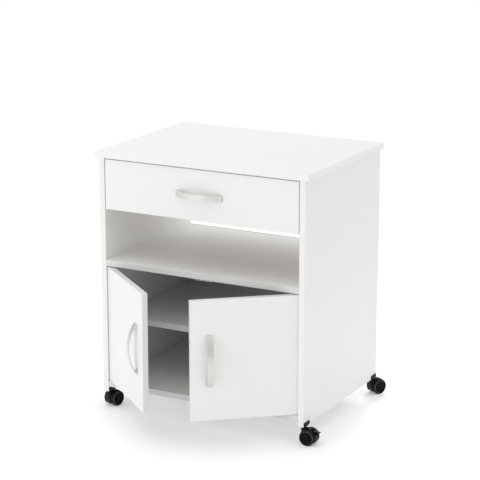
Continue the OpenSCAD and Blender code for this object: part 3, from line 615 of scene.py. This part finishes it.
WHEEL_STEPS = 72
RING_OUT = 0.875  # shares of the wheel's radius: the groove round the ring, the ring and the cap
RING_IN = 0.725
CAP = 0.25
RING_SLOPE = 1.6 * MM  # width of the ring's outer slope
SHOULDER = 1 * MM  # width of the groove's side toward the tread
FACE_DEEP = 1.2 * MM  # of the face inside the ring
AXLE_HOLE = 0.74  # share of the wheel's width
TREAD_DEPTH = 0.7 * MM
WHEEL_ROUND = 0.5 * MM
SLOPING = 0.3  # least share of a slope's normal along the axle, and away from it
TREAD, RING = 1, 2  # material places of a wheel, beside its face's


def wheel_outline(bore, radius, width):
    """Corners of a wheel's section: distance from its axis, and from its inner side."""
    groove = RING_OUT * radius
    ring = RING_IN * radius
    cap = CAP * radius
    face = width - FACE_DEEP
    half = width - FACE_DEEP / 2
    end = AXLE_HOLE * width
    return [
        (bore, 0), (radius, 0), (radius, width), (groove + SHOULDER, width), (groove, face),
        (groove - RING_SLOPE, width), (ring, width), (ring, face), (cap, face), (cap, half),
        (0, half), (0, end), (bore, end),
    ]


def wheel(corner, place):
    """One wheel: a tread, a raised ring on its outer face and a hub cap over the axle's end."""
    node = f"wheel_{place}_{corner}"
    axle = Vector(JOINTS[f"wheel_{place}_spin_{corner}"]["pos_m"])
    axis = Vector(JOINTS[f"wheel_{place}_spin_{corner}"]["axis"])
    offsets = [(vert.co - axle).dot(axis) for vert in NODES[node].data.vertices]
    inner = min(offsets, key=abs)
    outward = axis if inner > 0 else -axis
    radius = axle.z
    width = max(offsets) - min(offsets)
    bore = min(
        (vert.co - axle - axis * offset).length
        for vert, offset in zip(NODES[node].data.vertices, offsets)
        if abs(offset - inner) < PLANE_SLACK
    )
    outline = wheel_outline(bore, radius, width)
    bm = bmesh.new()
    verts = [bm.verts.new((r, 0, w)) for r, w in outline]
    edges = [bm.edges.new(pair) for pair in zip(verts, verts[1:] + verts[:1])]
    bmesh.ops.spin(
        bm, geom=verts + edges, cent=(0, 0, 0), axis=(0, 0, 1),
        angle=2 * math.pi, steps=WHEEL_STEPS, use_merge=True,
    )
    bmesh.ops.remove_doubles(bm, verts=bm.verts, dist=MERGE)
    bmesh.ops.recalc_face_normals(bm, faces=bm.faces)
    soften(bm, convex_corners(bm), WHEEL_ROUND, segments=3)
    groove = RING_OUT * radius
    for face in bm.faces:
        spot = face.calc_center_median()
        reach = spot.xy.length
        sloping = face.normal.z > SLOPING and face.normal.xy.dot(spot.xy) > SLOPING * reach
        if reach > radius - TREAD_DEPTH:
            face.material_index = TREAD
        elif sloping and groove - RING_SLOPE < reach < groove:
            face.material_index = RING
    side = outward.cross(UP).normalized()
    turn = Matrix((side, outward.cross(side), outward)).transposed().to_4x4()
    bm.transform(Matrix.Translation(axle + outward * abs(inner)) @ turn)
    bmesh.ops.recalc_face_normals(bm, faces=bm.faces)
    return finished(f"{node}_finished", bm, node, [WHEEL_FACE, WHEEL_TREAD, WHEEL_RING])


for corner in CORNERS:
    for place in ("inner", "outer"):
        wheel(corner, place)


# ------------------------------------------------------------------ CAD nodes that keep their shape

KEPT = {
    "cam_locks": ZINC,
    "cam_bolts": ZINC,
    "shelf_pins": ZINC,
    "dowels": BEECH,
    "catch_magnets": FERRITE,
    **{f"pivot_bushes_{side}": NYLON for side in SIDES},
    **{f"caster_pins_{corner}": ZINC for corner in CORNERS},
}
for node, material in KEPT.items():
    for slot in NODES[node].material_slots:
        slot.material = material


# ------------------------------------------------------------------ studio

FLOOR_SIZE = 20
FLOOR_GLOW = 0.24
LEVEL_LIGHT = 0.62
OVERHEAD_LIGHT = 1.29
CENTRE = (0, 0, 0.35)
NICHE = (0, 0, 0.56)
SOFTBOXES = (
    # name, place, target, size in metres, power in watts, whether glossy surfaces show it
    ("front_softbox", (-1.3, -3.2, 1.3), CENTRE, 1.6, 15, True),
    ("top_softbox", (-0.6, -0.3, 2.6), CENTRE, 1.6, 7, True),
    ("rear_softbox", (0, 1.2, 0.66), NICHE, 0.3, 8.5, False),
)
SENSOR_WIDTH = 36
LENS = 134.58
CLIP_NEAR, CLIP_FAR = 0.05, 100
CAMERA_PLACE = (2.1080, -3.9422, 1.6079)
CAMERA_TURN = (math.radians(75.30), 0, math.radians(28.18))


def studio_floor():
    """A plain pale floor, lit enough to be white but for the cart's soft shadow."""
    finish = Finish("studio_floor", Roughness=0.9)
    tone = finish.noise(0.5, 2.0)
    finish.feed("Base Color", finish.blend(tone, (0.785, 0.785, 0.785), (0.795, 0.795, 0.795)))
    finish.feed("Emission Color", (1.0, 1.0, 1.0, 1.0))
    finish.feed("Emission Strength", FLOOR_GLOW)
    bm = bmesh.new()
    bmesh.ops.create_grid(bm, x_segments=1, y_segments=1, size=FLOOR_SIZE)
    mesh = bpy.data.meshes.new("studio_floor")
    bm.to_mesh(mesh)
    bm.free()
    mesh.materials.append(finish.material)
    floor = bpy.data.objects.new("studio_floor", mesh)
    bpy.context.scene.collection.objects.link(floor)


def softbox(name, place, target, size, power, glints):
    """A square area light at place that faces the target."""
    light = bpy.data.lights.new(name, "AREA")
    light.size = size
    light.energy = power
    lamp = bpy.data.objects.new(name, light)
    lamp.location = place
    lamp.rotation_euler = (Vector(place) - Vector(target)).to_track_quat("Z", "Y").to_euler()
    lamp.visible_camera = False
    lamp.visible_glossy = glints
    bpy.context.scene.collection.objects.link(lamp)


def studio_light():
    """White all round, brighter overhead than at the level of the floor, and the softboxes."""
    world = bpy.data.worlds.new("studio")
    world.use_nodes = True
    nodes = world.node_tree.nodes
    links = world.node_tree.links
    way = nodes.new("ShaderNodeTexCoord")
    height = nodes.new("ShaderNodeSeparateXYZ")
    square = nodes.new("ShaderNodeMath")
    square.operation = "MULTIPLY"
    glow = nodes.new("ShaderNodeMapRange")
    glow.inputs["To Min"].default_value = LEVEL_LIGHT
    glow.inputs["To Max"].default_value = OVERHEAD_LIGHT
    links.new(way.outputs["Generated"], height.inputs[0])
    for factor in square.inputs[:2]:
        links.new(height.outputs["Z"], factor)
    links.new(square.outputs["Value"], glow.inputs["Value"])
    links.new(glow.outputs["Result"], nodes["Background"].inputs["Strength"])
    nodes["Background"].inputs["Color"].default_value = (1.0, 1.0, 1.0, 1.0)
    bpy.context.scene.world = world
    for box in SOFTBOXES:
        softbox(*box)


def photograph_camera():
    """The view of the photograph, fitted to the edges of the cart."""
    camera = bpy.data.cameras.new("photograph_view")
    camera.sensor_width = SENSOR_WIDTH
    camera.lens = LENS
    camera.clip_start = CLIP_NEAR
    camera.clip_end = CLIP_FAR
    holder = bpy.data.objects.new("photograph_view", camera)
    holder.location = CAMERA_PLACE
    holder.rotation_euler = CAMERA_TURN
    bpy.context.scene.collection.objects.link(holder)
    bpy.context.scene.camera = holder


studio_floor()
studio_light()
photograph_camera()
bpy.context.scene.view_settings.view_transform = "Standard"
